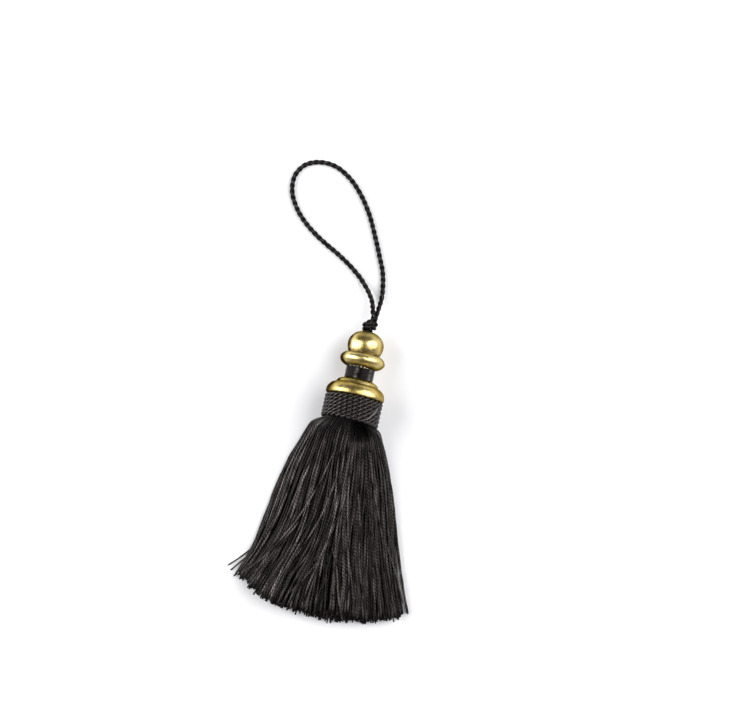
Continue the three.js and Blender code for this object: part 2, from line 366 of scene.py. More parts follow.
def makeTwistedFibre(eachYarn=2.4, grooveTo=0.2, grooveDeep=0.7, streakDetail=3.0, streakRough=0.6,
                     streakSpan=(0.3, 0.7), streakDeep=0.45, patchStep=5.3, patchSpan=(0.38, 0.68)):
    # twist of a yarn or a ply: grooves between its strands, and streaks of fibre that wind with it
    given, made = ([(label, "Float") for label in labels]
                   for labels in (fibreInputs, ("Groove Shade", "Streak", "Patchy", "Height")))
    tree, given, made = newGroup("twistedFibre", "ShaderNodeTree", given, made)
    along, own, around = attribute(tree, "along"), attribute(tree, "yarn"), attribute(tree, "round", "Vector")
    angle = maths(tree, "DIVIDE", times(tree, along, 2 * math.pi), given["Lay"])
    angle = plus(tree, angle, times(tree, own, eachYarn))
    turned = result(tree, "ShaderNodeVectorRotate", {"Vector": around, "Angle": angle},
                    rotation_type="Z_AXIS")
    x, y, z = partsOf(tree, turned)
    strand = maths(tree, "COSINE", times(tree, maths(tree, "ARCTAN2", y, x), given["Strands"]))
    grooveAndShade = ranged(tree, strand, -1.0, grooveTo)
    lined = vectorOf(tree, x, y, times(tree, along, given["Stretch"]))
    streak = noise(tree, given["Streaks"], streakDetail, streakRough, Vector=lined)
    run = vectorOf(tree, maths(tree, "DIVIDE", along, given["Patch"]))
    patch = noise(tree, 1.0, dimensions="4D", Vector=run, W=times(tree, own, patchStep))
    # the groove mask also becomes painted shade, the deep colour at the bottoms of the grooves
    plug(tree, made["Groove Shade"], grooveAndShade)
    plug(tree, made["Patchy"], ranged(tree, patch, *patchSpan))
    plug(tree, made["Streak"], ranged(tree, streak, *streakSpan))
    plug(tree, made["Height"], plus(tree, times(tree, grooveAndShade, grooveDeep), times(tree, streak, streakDeep)))
    return tree


twistedFibre = makeTwistedFibre()


def mixed(tree, factor, dark, light):
    node = add(tree, "ShaderNodeMix", {0: factor}, data_type="RGBA")
    plug(tree, node.inputs[6], dark)
    plug(tree, node.inputs[7], light)
    return node.outputs[2]


def newMaterial(name, settings):
    material = bpy.data.materials.new(name)
    material.use_nodes = True
    surface = material.node_tree.nodes["Principled BSDF"]
    for label, value in settings.items():
        surface.inputs[label].default_value = value
    return material, material.node_tree, surface.inputs


def fibreMaterial(name, look):
    settings = {"Specular IOR Level": look["specular"], "Specular Tint": look["glint"],
                "Sheen Weight": look["sheen"]}
    material, tree, surface = newMaterial(name, settings)
    fibre = add(tree, "ShaderNodeGroup", node_tree=twistedFibre)
    for label in fibreInputs:
        fibre.inputs[label].default_value = look[label.lower()]
    grooveAndShade, streak, patchy, height = fibre.outputs
    own = add(tree, "ShaderNodeTexWhiteNoise", {"W": attribute(tree, "yarn")}, noise_dimensions="1D").outputs
    shade = times(tree, streak, ranged(tree, own["Value"], 0.0, 1.0, look["least"]))
    shine = mixed(tree, shade, look["dark"], look["light"])
    toned = mixed(tree, times(tree, attribute(tree, "tint"), patchy), shine, look["pale"])
    # all of these are painted shade, as are the skirt's hollow and the band's right side
    dim = attribute(tree, "dim")  # cut ends, and the shade under the band and between its plies
    shown = times(tree, grooveAndShade, maths(tree, "SUBTRACT", 1.0, dim))
    plug(tree, surface["Base Color"], mixed(tree, shown, look["deep"], toned))
    shiny = ranged(tree, streak, 0.0, 1.0, look["rough"], look["sleek"])
    plug(tree, surface["Roughness"], plus(tree, shiny, times(tree, dim, look["dull"])))
    bumped(tree, surface, look, height)
    return material


def bumped(tree, surface, look, height):
    inputs = {"Strength": look["bump"], "Distance": look["relief"], "Height": height}
    plug(tree, surface["Normal"], result(tree, "ShaderNodeBump", inputs))


# dark to light along the fibres; pale is painted sheen, and on the loop a painted crest highlight; deep is
# painted shade in the grooves and in the painted-shade places, where dull is added to the roughness
fibreLook = dict(least=1.0, dull=0.5, sheen=0.0, glint=(1.0, 0.9, 0.86, 1))
cordLook = dict(
    fibreLook, lay=2.1 * mm, strands=7.0, streaks=2.6, stretch=700.0, patch=4.0 * mm, dull=0.55,
    dark=(0.002, 0.0018, 0.0019, 1), light=(0.006, 0.0051, 0.0048, 1), pale=(0.08, 0.07, 0.068, 1),
    deep=(0.001, 0.0009, 0.0009, 1), rough=0.24, sleek=0.12, bump=0.3, relief=0.06 * mm, specular=0.62)
# the loop's pale colour is its painted crest highlight
loopLook = dict(
    cordLook, lay=4.2 * mm, patch=2.6 * mm, dark=(0.0003, 0.0003, 0.0003, 1), light=(0.0012, 0.001, 0.001, 1),
    pale=(0.17, 0.154, 0.147, 1), bump=0.6, relief=0.1 * mm, specular=0.08)
yarnLook = dict(
    fibreLook, lay=3.4 * mm, strands=2.0, streaks=2.2, stretch=500.0, patch=9.0 * mm, least=0.05,
    dark=(0.0012, 0.001, 0.0009, 1), light=(0.006, 0.0051, 0.0048, 1), pale=(0.27, 0.236, 0.224, 1),
    deep=(0.0006, 0.0005, 0.0005, 1), rough=0.42, sleek=0.17, bump=1.0, relief=0.22 * mm, specular=0.18)
threadLook = dict(
    fibreLook, lay=1.3 * mm, strands=3.0, streaks=2.4, stretch=900.0, patch=3.0 * mm,
    dark=(0.002, 0.0019, 0.0022, 1), light=(0.003, 0.0027, 0.003, 1), pale=(0.4, 0.38, 0.36, 1),
    deep=(0.001, 0.001, 0.001, 1), rough=0.26, sleek=0.14, bump=0.25, relief=0.04 * mm, specular=0.14)
endLook = dict(
    fibreLook, lay=1.6 * mm, strands=3.0, streaks=2.4, stretch=700.0, patch=3.0 * mm, glint=(1, 1, 1, 1),
    dark=(0.16, 0.145, 0.13, 1), light=(0.36, 0.33, 0.3, 1), pale=(0.5, 0.46, 0.42, 1), sheen=0.3,
    deep=(0.07, 0.062, 0.055, 1), rough=0.6, sleek=0.5, dull=0.3, bump=0.5, relief=0.05 * mm, specular=0.5)

cordBlack = fibreMaterial("blackBandCord", cordLook)
loopBlack = fibreMaterial("blackLoopCord", loopLook)
yarnBlack = fibreMaterial("charcoalRayonYarn", yarnLook)
threadBlack = fibreMaterial("blackSatinThread", threadLook)
threadPale = fibreMaterial("paleThreadEnd", endLook)


# the gilding; the scales are of its noises, and each span is where one fades in

gild = dict(
    bright=(0.79, 0.66, 0.31, 1), mid=(0.43, 0.325, 0.1, 1), wearAndPaintedLight=(0.045, 0.03, 0.008, 1),
    glint=(0.3, 0.24, 0.12, 1), rough=0.24, rougher=0.1, roughSpan=(0.3, 0.7), dull=0.42,
    leafScale=420.0, cloudScale=110.0, cloudSpan=(0.35, 0.65), mottleSpan=(0.3, 0.62), mottleMost=1.15,
    mottleLeast=0.55, wear=0.16, wearSpan=(0.62, 0.8), brushScale=(90.0, 3200.0, 90.0), brushDeep=0.35,
    flakeScale=900.0, flakeDeep=0.6, grainScale=2600.0, grainDeep=0.2, bump=0.5, relief=0.22 * mm)


def gildingMaterial():
    settings = {"Metallic": 1.0, "Specular Tint": gild["glint"]}
    material, tree, surface = newMaterial("gildedTurnedWood", settings)
    place, grooveAndShade = attribute(tree, "onHead", "Vector"), attribute(tree, "grooveAndShade")
    leaf = noise(tree, gild["leafScale"], detail=5.0, roughness=0.6, Vector=place)
    cloudy = noise(tree, gild["cloudScale"], detail=3.0, Vector=place)
    flat = result(tree, "ShaderNodeMapping", {"Vector": place, "Scale": gild["brushScale"]})
    brush = noise(tree, 1.0, detail=4.0, roughness=0.65, Vector=flat)
    grain = noise(tree, gild["grainScale"], Vector=place)
    flakes = noise(tree, gild["flakeScale"], detail=3.0, Vector=place)
    tone = mixed(tree, ranged(tree, cloudy, *gild["cloudSpan"]), gild["mid"], gild["bright"])
    # the head's stored values, patina in the hollows and painted shade on its sides and the ball's top, mix
    # in the dark colour along with the leaf's wear
    mottling = ranged(tree, leaf, *gild["mottleSpan"], gild["mottleMost"], gild["mottleLeast"])
    wearAndPaintedLight = plus(tree, times(tree, grooveAndShade, mottling), ranged(tree, leaf, *gild["wearSpan"], 0.0, gild["wear"]))
    plug(tree, surface["Base Color"], mixed(tree, maths(tree, "MINIMUM", wearAndPaintedLight, 1.0), tone, gild["wearAndPaintedLight"]))
    shiny = ranged(tree, leaf, *gild["roughSpan"], gild["rough"], gild["rough"] + gild["rougher"])
    plug(tree, surface["Roughness"], plus(tree, shiny, times(tree, grooveAndShade, gild["dull"] - gild["rough"])))
    flaked = plus(tree, leaf, times(tree, flakes, gild["flakeDeep"]))
    height = plus(tree, times(tree, brush, gild["brushDeep"]),
                  plus(tree, flaked, times(tree, grain, gild["grainDeep"])))
    bumped(tree, surface, gild, height)
    return material


gilding = gildingMaterial()
print("materials made")


# the turned head; each curve is radius, height and the bend on the way, each patina and painted shade entry
# height, width and depth

head = dict(
    rimX=-1.3, rimY=37.5, droop=7.5, lean=2.2, lift=0.2, boreRadius=2.4, lipRadius=2.9, lipDepth=0.4,
    lipBend=0.1, rimRadius=13.6, rimFlat=0.6, domeRadius=14.1, domeHeight=8.4, neckRadius=7.25,
    coreRadius=6.2, ringBase=14.5, grooveHeight=21.2, ballRadius=8.65, ballMiddle=25.6, ballBelow=8.5,
    ballAbove=6.9,
    domeCurves=[(14.1, 1.1, 14.1, 0.1), (13.1, 4.1, 14.1, 2.9), (11.2, 5.6, 12.3, 5.2),
                (10.2, 6.1, 10.5, 5.6), (8.5, 7.9, 9.9, 7.4), (7.25, 8.4, 7.8, 8.4)],
    ringCurves=[(10.4, 16.6, 9.4, 15.1), (10.75, 18.5, 10.95, 17.5)], ringTopBend=(10.3, 20.4),
    around=144, domeSteps=8, ringSteps=9, grooveSteps=10, belowSteps=12, aboveSteps=17, lipSteps=4,
    # painted shade, darkening the head's left and right sides
    leftPaintedShade=1.9, rightPaintedShade=0.2, sidePaintedShadeFrom=0.7,
    # patina in the hollows; the entry at 31.0 is painted shade, the dark reflection on the ball's top, and
    # the one at 16.4 darkens the ring's lower slope
    patinaAndShade=[(0.0, 0.9, 0.9), (5.9, 0.5, 0.45), (8.5, 0.35, 0.8), (14.6, 0.8, 0.9), (16.4, 1.2, 0.35),
           (21.2, 0.9, 1.0), (31.0, 2.2, 0.5), (32.6, 0.5, 0.8)])

rimHeight = head["domeRadius"] * math.cos(math.radians(head["droop"])) + head["lift"]
rimMiddle = (head["rimX"], head["rimY"], rimHeight)
headPlace = (Matrix.Translation(Vector(rimMiddle)) @ Matrix.Rotation(-math.radians(head["lean"]), 4, "Z")
             @ Matrix.Rotation(-math.radians(head["droop"]), 4, "X"))
headTurn, headShift = np.array(headPlace)[:3, :3], np.array(headPlace)[:3, 3]


def fromHead(points):
    return np.asarray(points, float) @ headTurn.T + headShift


def toHead(points):
    return (np.asarray(points, float) - headShift) @ headTurn


def roundHead(angle, height, radius=1.0):
    # places round the head's axis, in its own frame
    return np.stack(np.broadcast_arrays(radius * np.cos(angle), height, radius * np.sin(angle)), axis=-1)


def bent(start, bend, end, count):
    t = np.linspace(0, 1, count + 1)[1:, None]
    start, bend, end = (np.array(point, float) for point in (start, bend, end))
    return list(map(tuple, (1 - t)**2 * start + 2 * t * (1 - t) * bend + t**2 * end))


def headOutline():
    # radius and height, up the outside from the bore's foot and down the bore again
    bore, ball = head["boreRadius"], head["ballRadius"]
    outline = [(bore, 0), (head["coreRadius"], 0), (head["rimRadius"] - head["rimFlat"], 0),
               (head["rimRadius"], 0)]
    for radius, height, bendRadius, bendHeight in head["domeCurves"]:
        outline += bent(outline[-1], (bendRadius, bendHeight), (radius, height), head["domeSteps"])
    outline += [(head["coreRadius"], head["domeHeight"]), (head["coreRadius"], head["ringBase"]),
                (head["neckRadius"], head["ringBase"])]
    for radius, height, bendRadius, bendHeight in head["ringCurves"]:
        outline += bent(outline[-1], (bendRadius, bendHeight), (radius, height), head["ringSteps"])
    start = math.asin((head["grooveHeight"] - head["ballMiddle"]) / head["ballBelow"])
    outline += bent(outline[-1], head["ringTopBend"], (ball * math.cos(start), head["grooveHeight"]),
                    head["grooveSteps"])
    top = math.acos(head["lipRadius"] / ball)
    below, above = np.linspace(start, 0, head["belowSteps"] + 1), np.linspace(0, top, head["aboveSteps"] + 1)
    for angle in np.concatenate([below[1:], above[1:]]):
        half = head["ballBelow"] if angle < 0 else head["ballAbove"]
        outline.append((ball * math.cos(angle), head["ballMiddle"] + half * math.sin(angle)))
    lip = outline[-1][1]
    return outline + bent(outline[-1], (bore + head["lipBend"], lip + head["lipBend"]),
                          (bore, lip - head["lipDepth"]), head["lipSteps"])


def turnedHead():
    outline = np.array(headOutline())
    count, around = len(outline), head["around"]
    angles = np.arange(around) * 2 * math.pi / around
    points = roundHead(angles, outline[:, 1:], outline[:, :1]).reshape(-1, 3)
    faces = []
    for i in range(count):
        for j in range(around):
            here, above, beside = i * around, (i + 1) % count * around, (j + 1) % around
            faces.append((here + j, above + j, above + beside, here + beside))
    mesh = bpy.data.meshes.new("turnedHead")
    mesh.from_pydata((fromHead(points) * mm).tolist(), [], faces)
    patinaAndShade = np.max([deep * np.exp(-((points[:, 1] - at) / wide)**2) for at, wide, deep in head["patinaAndShade"]],
                   axis=0)
    # painted shade: the sides that face left and right are darkened on top of the patina
    side = np.tile(np.cos(angles), count)
    patinaAndShade = np.maximum(patinaAndShade, head["leftPaintedShade"] * smoothStep(-side, head["sidePaintedShadeFrom"], 1.0))
    patinaAndShade = np.maximum(patinaAndShade, head["rightPaintedShade"] * smoothStep(side, head["sidePaintedShadeFrom"], 1.0))
    pointValues(mesh, "grooveAndShade", patinaAndShade)
    pointValues(mesh, "onHead", points * mm)
    mesh.shade_smooth()
    mesh.materials.append(gilding)
    return placed("gildedHead", mesh)


join(turnedHead(), "gilded_wood", "turned_head")

neck = dict(turns=13.0, coreRadius=6.4, threadRadius=0.27, waver=0.13, height=5.5, foot=8.72,
            sides=8, seed=4.0)


def woundNeck():
    settings = {"Turns": neck["turns"], "Seed": neck["seed"], "Sides": neck["sides"], "Material": threadBlack,
                "Height": neck["height"] * mm, "Core Radius": neck["coreRadius"] * mm,
                "Thread Radius": neck["threadRadius"] * mm, "Waver": neck["waver"] * mm}
    piece = grown("neckThread", bpy.data.meshes.new("neckGuide"), threadWinding, settings)
    foot = headPlace.to_3x3().to_4x4() @ Matrix.Translation((0, neck["foot"] * mm, 0))
    piece.data.transform(foot @ Matrix.Rotation(-math.pi / 2, 4, "X"))
    piece.data.transform(Matrix.Translation(Vector(rimMiddle) * mm))
    return piece


join(woundNeck(), "satin_thread", "neck_winding")

flecks = dict(
    radius=7.15, light=(0.9, 0.84, 0.66, 1), deep=(0.6, 0.5, 0.28, 1), rough=0.35, speckScale=3000.0,
    corners=8, uneven=0.3, unevenTurn=5, flat=0.7, thick=0.5,
    spots=[(138, 14.2, 0.3), (119, 14.2, 0.3), (90, 14.1, 0.36), (76, 14.1, 0.4), (65, 14.05, 0.3),
           (104, 14.25, 0.18), (128, 14.25, 0.18)])  # angle round the neck, height, size


def leafFlecks():
    # crumbs of gold leaf where the ring meets the thread
    corners, faces, count = [], [], flecks["corners"]
    for angle, height, size in flecks["spots"]:
        angle = math.radians(angle)
        out, middle = roundHead(angle, 0), roundHead(angle, height, flecks["radius"])
        along, start = np.array([-out[2], 0, out[0]]), len(corners)
        for k in range(count):
            way = k * math.pi / (count / 2)
            rim = math.cos(way) * along + flecks["flat"] * math.sin(way) * np.array([0, 1, 0])
            corners.append(middle + size * (1 + flecks["uneven"] * math.sin(flecks["unevenTurn"] * k)) * rim)
            following = start + (k + 1) % count
            faces += [(start + k, following, start + count), (following, start + k, start + count + 1)]
        corners += [middle + out * size * flecks["thick"], middle - out * size * flecks["thick"]]
    mesh = bpy.data.meshes.new("leafFlecks")
    mesh.from_pydata((fromHead(np.array(corners)) * mm).tolist(), [], faces)
    material, tree, surface = newMaterial("leafCrumbs", {"Roughness": flecks["rough"]})
    speck = noise(tree, flecks["speckScale"], Vector=add(tree, "ShaderNodeTexCoord").outputs["Object"])
    plug(tree, surface["Base Color"], mixed(tree, speck, flecks["deep"], flecks["light"]))
    mesh.materials.append(material)
    return placed("leafFlecks", mesh)


join(leafFlecks(), "gilded_wood")


# the cord, and the band that is wound of it; the band's starts and lengths are in turns

cord = dict(plies=2, plyRadius=0.78, plyOffset=0.46, sides=18, diameter=2.0)


def cordPiece(name, material, lines, values, radius=cord["plyRadius"], across=cord["plyOffset"],
              outward=cord["plyOffset"], straight=0.0, shade=0.0, wearAndPaintedLight=1.0):
    settings = {"Plies": cord["plies"], "Sides": cord["sides"], "Ply Radius": radius * mm,
                "Ply Offset": across * mm, "Ply Outward": outward * mm, "Straight": straight, "Shade": shade,
                "Painted Crest Highlight": wearAndPaintedLight, "Material": material}
    return grown(name, pathMesh(name + "Guide", lines, **values), twistedCord, settings)


band = dict(turns=6, pitch=2.0, ringRadius=13.05, top=-1.28, tiltUp=0.75, tiltSide=0.6, stepsEachTurn=220,
            laysEachTurn=14.04, phase=0.6, outward=0.46, across=0.86, plyRadius=0.5, straight=0.8, shade=1.0,
            wearAndPaintedLight=0.0, rightShade=0.5, rightShadeSpan=(0.1, 0.8), startAt=0.25, levelFor=0.5, endShort=0.04, tuck=1.1,
            tuckIn=0.06, tuckOut=0.12)


def bandLine():
    # each turn lies against the last one, and the lower turns tip towards the head on top
    b, end = band, band["turns"] - band["endShort"]
    turns = np.linspace(0, end, int(b["turns"] * b["stepsEachTurn"]))
    angle = 2 * math.pi * (turns - b["startAt"])
    down = np.clip(turns - b["levelFor"], 0, b["turns"] - 1) * b["pitch"]
    share = down / ((b["turns"] - 1) * b["pitch"])
    height = b["top"] - down + share * (b["tiltUp"] * np.sin(angle) - b["tiltSide"] * np.cos(angle))
    tucked = (b["tuck"] * (1 - smoothStep(turns, 0, b["tuckIn"]))
              + b["tuck"] * smoothStep(turns, b["turns"] - b["tuckOut"], end))
    twists = -2 * math.pi * b["laysEachTurn"] * turns + b["phase"]
    return roundHead(angle, height, b["ringRadius"] - tucked), roundHead(angle, 0), twists


def woundBand():
    line, outward, twists = bandLine()
    ahead = headings(line)
    outward = outward - ahead * (outward * ahead).sum(axis=1)[:, None]
    outward /= np.linalg.norm(outward, axis=1)[:, None]
    # painted shade, darker towards the band's right side
    rightShade = band["rightShade"] * smoothStep(line[:, 0] / band["ringRadius"], *band["rightShadeSpan"])
    values = dict(twist=[twists], thick=[np.ones(len(line))], side=[outward @ headTurn.T], rightShade=[rightShade])
    return cordPiece("bandCord", cordBlack, [fromHead(line)], values, band["plyRadius"], band["across"],
                     band["outward"], band["straight"], band["shade"], band["wearAndPaintedLight"])


join(woundBand(), "twisted_cord", "wound_band")


# the loop and the knot, one cord

loop = dict(step=0.42, lay=5.9, routeStep=1.5, route=[
    (0.9, 76.52, 9.7), (0.5, 78.2, 9.2), (0.05, 80.2, 8.5), (-0.45, 82.3, 7.4), (-1.45, 84.9, 5.65),
    (-3.1, 87.7, 3.85), (-5.3, 90.7, 2.35), (-8.4, 94.2, 1.5), (-12.6, 97.9, 1.25), (-20.7, 103.6, 1.25),
    (-28.7, 108.3, 1.25), (-38.2, 115.2, 1.25), (-45, 122.9, 1.25), (-48.4, 130.8, 1.25), (-48.1, 138, 1.25),
    (-44.4, 143.4, 1.25), (-38, 146, 1.25), (-29.8, 145.4, 1.25), (-22.3, 141.2, 1.25), (-15.7, 134.5, 1.25),
    (-9.9, 125.8, 1.25), (-5.2, 115.8, 1.25), (-1.1, 105.9, 1.25), (1.6, 98.8, 1.25), (2.8, 92.6, 1.35),
    (3.2, 88.4, 1.85), (3.1, 84.9, 3.1), (2.75, 81.9, 4.65), (2.4, 79.4, 6.05), (2.15, 77.6, 7.05),
    (2.0, 76.32, 7.7)])
knot = dict(
    cordSize=1.5, steps=90, rounds=700, pull=0.5, spread=1.2, heldBy=0.3, lookEvery=6, lookWithin=1.7,
    alongLeast=1.5, bodyWithin=1.9, reach=2.2, looseWide=2.6, looseDeep=1.9, looseTall=0.4, looseSteps=600,
    looseApart=0.52, height=34.63, turn=84.0, wide=1.16, deep=1.0, tall=0.94, shift=-0.35, lean=0.24,
    thick=0.92, thickBlend=4, tail=(24.0, 26.0, 28.0), tailTop=33.2, tailEnd=30.6, tailApart=0.95,
    tailBlend=3, topMerge=3.6, topGap=0.3)


def looseKnot():
    # both strands of a doubled cord in an open overhand knot
    k = knot
    t = np.linspace(-k["reach"], k["reach"], k["looseSteps"])
    loose = np.stack([(t**3 - 3 * t) * k["looseWide"], (t**4 - 4 * t**2) * k["looseDeep"],
                      (t**5 - 10 * t) * k["looseTall"]], axis=1)
    loose[:, 1] -= loose[0, 1]
    side = sideways(loose)
    return np.concatenate([evenOut(loose + side * sign * k["cordSize"] * k["looseApart"], k["steps"])
                           for sign in (1, -1)])


def pulledStrand(strand):
    # straightens the strand a little and spaces its points evenly again; its tips stay
    tips = strand[[0, -1]].copy()
    strand[1:-1] += knot["pull"] * ((strand[:-2] + strand[2:]) / 2 - strand[1:-1])
    gap = lengths(strand)[-1] / (len(strand) - 1)
    strand = evenOut(strand, len(strand))
    strand[[0, -1]] = tips
    return strand, gap


def tightenedKnot():
    # pulls the loose knot tight step by step while its strands keep apart
    both, k, size, count = looseKnot(), knot, knot["cordSize"], knot["steps"]
    strand = np.arange(2 * count) // count
    first, second = np.triu_indices(2 * count, 1)
    ends = [0, count - 1, count, 2 * count - 1]
    start = both[ends].copy()
    goal = np.array([[sign * size / 2, 0, point[2]] for sign, point in zip((1, 1, -1, -1), start)])
    for tightening in range(k["rounds"]):
        (one, gap), (other, gap) = pulledStrand(both[:count]), pulledStrand(both[count:])
        both = np.concatenate([one, other])
        held = start + (goal - start) * min(1, tightening / (k["heldBy"] * k["rounds"]))
        both[ends] = held
        if tightening % k["lookEvery"] == 0:
            apart = np.linalg.norm(both[first] - both[second], axis=1)
            farAlong = (second - first) * gap > k["alongLeast"] * size
            near = (apart < k["lookWithin"] * size) & ((strand[first] != strand[second]) | farAlong)
            a, b = first[near], second[near]
        between = both[a] - both[b]
        apart = np.linalg.norm(between, axis=1) + 1e-9
        push = between * (np.clip(size - apart, 0, None) / apart * 0.5)[:, None]
        move, touching = np.zeros_like(both), np.zeros(2 * count)
        for place, way in ((a, push), (b, -push)):
            np.add.at(move, place, way)
            np.add.at(touching, place, apart < size)
        both = both + move / np.maximum(1, np.sqrt(touching))[:, None] * k["spread"]
        both[ends] = held
    body = both[np.abs(both[:, 2]) < k["bodyWithin"] * size]
    both[:, :2] -= (body[:, :2].max(axis=0) + body[:, :2].min(axis=0)) / 2
    return both[:count], both[count:]


def knotStrands():
    # both strands from the bore up through the knot to where the loop starts, in the head's frame
    k, turn, strands = knot, math.radians(knot["turn"]), []
    for tied, target, sign in zip(tightenedKnot(), toHead(loop["route"])[[0, -1]], (-1, 1)):
        x = tied[:, 0] * math.cos(turn) - tied[:, 1] * math.sin(turn)
        z = tied[:, 0] * math.sin(turn) + tied[:, 1] * math.cos(turn)
        line = np.stack([x, tied[:, 2], z], axis=1) * (k["wide"], k["tall"], k["deep"])
        line = line + (k["shift"], k["height"], 0)
        line[:, 0] += k["lean"] * (line[:, 1] - k["height"])
        if line[0, 1] > line[-1, 1]:
            line = line[::-1]
        middle = len(line) // 2
        low = np.max(np.where(line[:middle, 1] < k["tailEnd"])[0])
        high = middle + np.min(np.where(line[middle:, 1] > target[1] - k["topGap"])[0])
        line = line[low:high]
        enters = np.argmax(line[:, 1] > k["tailTop"]) + k["tailBlend"]
        down = (1 - smoothStep(np.arange(len(line)), 0, enters))[:, None]
        aside = np.stack([sign * k["tailApart"] - line[:, 0], 0 * line[:, 0], -line[:, 2]], axis=1)
        line = line + down * aside
        run = lengths(line)
        weight = smoothStep(run, run[-1] - k["topMerge"], run[-1])[:, None]
        line = line + weight * (target - line[-1] - np.array([0, k["topGap"], 0]))
        strands.append(np.concatenate([[(line[0, 0], height, 0) for height in k["tail"]], line]))
    return strands


route = np.array(loop["route"])
strandUp, strandDown = (fromHead(strand) for strand in knotStrands())
whole = np.concatenate([strandUp, smoothLine(route, loop["routeStep"]), strandDown[::-1]])
whole = smoothLine(whole, loop["step"])
starts, stops = (int(np.argmin(np.linalg.norm(whole - route[end], axis=1))) for end in (0, -1))


def knotThickness():
    # the knot presses its strands a little thinner than the loop
    point, blend = np.arange(len(whole)), knot["thickBlend"]
    thick = np.pad(np.where((point < starts) | (point > stops), knot["thick"], 1.0), blend, mode="edge")
    return np.convolve(thick, np.ones(2 * blend + 1) / (2 * blend + 1), mode="valid")


wholeValues = dict(twist=-2 * math.pi * lengths(whole) / loop["lay"], thick=knotThickness(),
                   side=sideways(whole), rightShade=np.zeros(len(whole)))


def cordBetween(name, *spans):
    values = {label: [numbers[low:high + 1] for low, high in spans] for label, numbers in wholeValues.items()}
    return cordPiece(name, loopBlack, [whole[low:high + 1] for low, high in spans], values)


loopCord = cordBetween("loopCord", (starts, stops))
knotCord = cordBetween("knotCord", (0, starts + 1), (stops - 1, len(whole) - 1))
join(loopCord, "twisted_cord", "loop_cord")
join(knotCord, "twisted_cord", "cord_knot")


# the skirt of cut yarn: a round bundle in the band that spreads into a fan; a span is from where to where

skirt = dict(
    yarns=980, seed=12, yarnRadius=0.43, sides=6, crimp=1.1, crimpLength=9.0, crimpSeed=5.0,
    bundleRadius=11.8, bundleFill=0.965, bandBottom=12.3, settle=7.5, settleFrom=0.6,
    hubX=-2.6, hubY=76.5, bandToHub=51.1, turn=0.85, spread=17.05, length=95.6, bevel=5.0,
    bulgeLeft=0.15, bulgeRight=0.05, bulgeMiddle=26.0, bulgeWidth=30.0, pinch=0.08, pinchLong=16.0,
    flareLeft=0.06, flareRight=0.015, flareSpan=(70.0, 96.0), crownEnd=12.5, crownFall=26.0,
    edgeHeight=1.2, edgeRound=0.04, fullness=2.2, shoulder=0.75, lockSpan=(0.12, 0.6),
    chordLeast=0.002, levelMost=1.15, heightLeast=0.01,
    firstSteps=(-11.7, -6, -2, 0, 1.5, 3, 4.5, 6, 8, 10), evenFrom=12.5, evenSteps=34,
    locks=240, lockTurn=0.5, lockRagged=0.5, ragged=0.7, pull=0.5, pullSpan=(0.05, 0.75),
    sway=0.022, swayWaves=(3, 8), anyPhase=6.3, drift=0.016, driftWaves=9, moveSpan=(0, 0.25),
    sweep=0.05, sweepSplit=0.35, sweepBack=0.6, sweepLift=0.3, crossing=0.05, crossers=0.5,
    crossSpan=(0.15, 1.0), crossLift=9, wanderers=0.06, wander=0.05, wanderLift=0.5, overSpan=(0.15, 0.6),
    lift=0.8, liftWaves=5, liftSpan=(0.05, 0.4), curlLeft=0.17, curlRight=0.03, curlMiddle=0.1,
    curlUnder=0.35, curlSpan=(0.45, 1.0), bowIn=0.4, bowEnd=0.8, hollowAcross=0.34, hollowWide=0.34,
    hollowDown=3.0, hollowLong=5.0, hollowDeep=10.0, hollowShadeLong=6.0,
    thin=0.8, thinSpan=(4, 40), sizes=(0.88, 1.14), endThin=0.9, freeSpan=(0, 25), tipShade=2.2,
    shade=0.95, shadeFrom=0.8, shadeLong=7.5, shadeLeft=0.45, yarnSheen=0.3, lockSheen=0.08)
ridges = [(-0.94, 0.09, 0.5, -8.6), (-0.78, 0.1, 1.0, -6.9), (-0.6, 0.1, 1.5, -3.4), (-0.44, 0.08, 1.1, -0.6),
          (-0.27, 0.11, 1.7, -0.8), (-0.09, 0.1, 1.3, 0.2), (0.09, 0.1, 1.6, 0.1), (0.26, 0.09, 1.2, 0.8),
          (0.43, 0.1, 1.6, 0.1), (0.61, 0.1, 1.2, 0.6), (0.78, 0.09, 1.0, -0.4),
          (0.93, 0.09, 0.5, -1.8)]  # place across, half its width, rise, and how much longer its yarns are


def ridgeRise(across):
    rises = [rise * (1 - ((across - at) / half)**2) for at, half, rise, longer in ridges]
    return np.maximum(0, np.max(rises, axis=0))


def ridgeLonger(across):
    weights = np.array([np.exp(-((across - at) / half)**2) + 1e-6 for at, half, rise, longer in ridges])
    return (weights * np.array(ridges)[:, 3:]).sum(axis=0) / weights.sum(axis=0)


